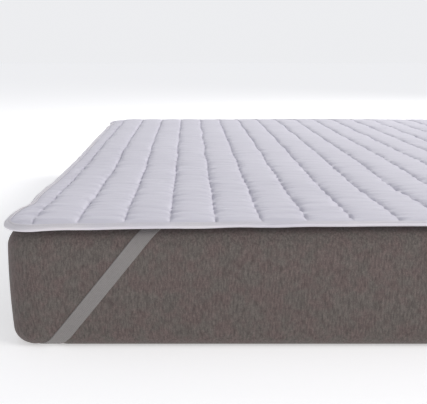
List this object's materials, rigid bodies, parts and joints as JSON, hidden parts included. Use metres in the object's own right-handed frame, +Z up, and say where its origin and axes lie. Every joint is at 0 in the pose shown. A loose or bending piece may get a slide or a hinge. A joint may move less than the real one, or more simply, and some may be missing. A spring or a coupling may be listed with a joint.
{
  "type": "mattress protector on a mattress",
  "caption": "Quilted mattress protector with lengthwise channels, a bound edge and an elastic band across each corner, fitted on a plain mattress.",
  "frame": {"origin": "on the surface that the mattress stands on, under the middle of the mattress", "axes": "+Z up, +Y towards the head end along the length, +X to the right seen from the foot end"},
  "size_m": [1.5414, 2.0426, 0.2087],
  "materials": {
    "quilt_cloth": "matt white microfibre, quilted",
    "binding_cloth": "matt white folded strip",
    "elastic": "flat woven elastic, warm grey",
    "mattress_cover": "heathered taupe knit"
  },
  "bodies": {
    "root": {"mattress": "mattress_cover", "quilted_pad": "quilt_cloth", "edge_binding": "binding_cloth", "band_front_left": "elastic", "band_front_right": "elastic", "band_back_left": "elastic", "band_back_right": "elastic"}
  },
  "joints": []
}
